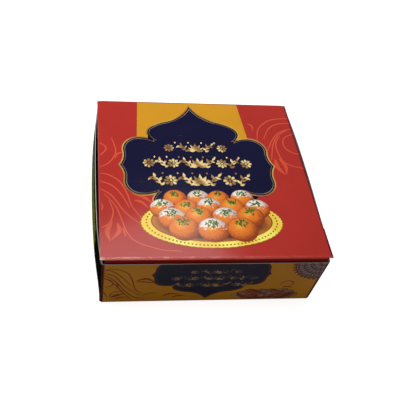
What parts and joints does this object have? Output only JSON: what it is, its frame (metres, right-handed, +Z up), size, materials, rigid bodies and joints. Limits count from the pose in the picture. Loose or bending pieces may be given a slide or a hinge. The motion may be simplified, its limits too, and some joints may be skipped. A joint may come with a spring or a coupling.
{
  "type": "sweet box",
  "caption": "Square folded paperboard sweet box with a hinged tuck-in lid and printed ornament.",
  "frame": {"origin": "on the ground under the middle of the box", "axes": "+Z up, -Y towards the front, where the lid's tuck flap goes in, +X towards the right of the front"},
  "size_m": [0.19, 0.178, 0.0634],
  "materials": {
    "lid": "printed coated board, glossy on its outer side",
    "walls": "printed coated board, glossy on its outer side",
    "flaps": "printed coated board, glossy on its outer side",
    "tabs": "grey uncoated board",
    "bottom": "grey uncoated board",
    "glue": "dried adhesive film"
  },
  "bodies": {
    "base": {"bottom_panel": "bottom", "front_wall": "walls", "back_wall": "walls", "left_wall": "walls", "right_wall": "walls", "front_bottom_crease": "walls", "back_bottom_crease": "walls", "left_bottom_crease": "walls", "right_bottom_crease": "walls", "front_left_corner_crease": "walls", "front_right_corner_crease": "walls", "back_left_corner_crease": "walls", "back_right_corner_crease": "walls", "front_left_tab": "tabs", "front_right_tab": "tabs", "back_left_tab": "tabs", "back_right_tab": "tabs", "corner_glue": "glue"},
    "lid": {"lid_panel": "lid", "lid_crease": "lid"},
    "tuck_flap": {"tuck_flap": "flaps", "tuck_crease": "flaps"},
    "left_flap": {"left_flap": "flaps", "left_flap_crease": "flaps"},
    "right_flap": {"right_flap": "flaps", "right_flap_crease": "flaps"}
  },
  "joints": [
    {"name": "lid_hinge", "type": "hinge", "parent": "base", "child": "lid", "pos_m": [0, 0.089, 0.0585], "axis": [-1, 0, 0], "range_deg": [-1.6, 195], "deforming": ["lid_crease"]},
    {"name": "tuck_flap_fold", "type": "hinge", "parent": "lid", "child": "tuck_flap", "pos_m": [0, -0.08713, 0.06239], "axis": [1, 0, 0], "range_deg": [0, 78], "deforming": ["tuck_crease"]},
    {"name": "left_flap_fold", "type": "hinge", "parent": "lid", "child": "left_flap", "pos_m": [-0.089, 0.00003, 0.05996], "axis": [0, -0.9996, 0.0279], "range_deg": [0, 85], "deforming": ["left_flap_crease"]},
    {"name": "right_flap_fold", "type": "hinge", "parent": "lid", "child": "right_flap", "pos_m": [0.089, 0.00003, 0.05996], "axis": [0, 0.9996, -0.0279], "range_deg": [0, 85], "deforming": ["right_flap_crease"]}
  ]
}
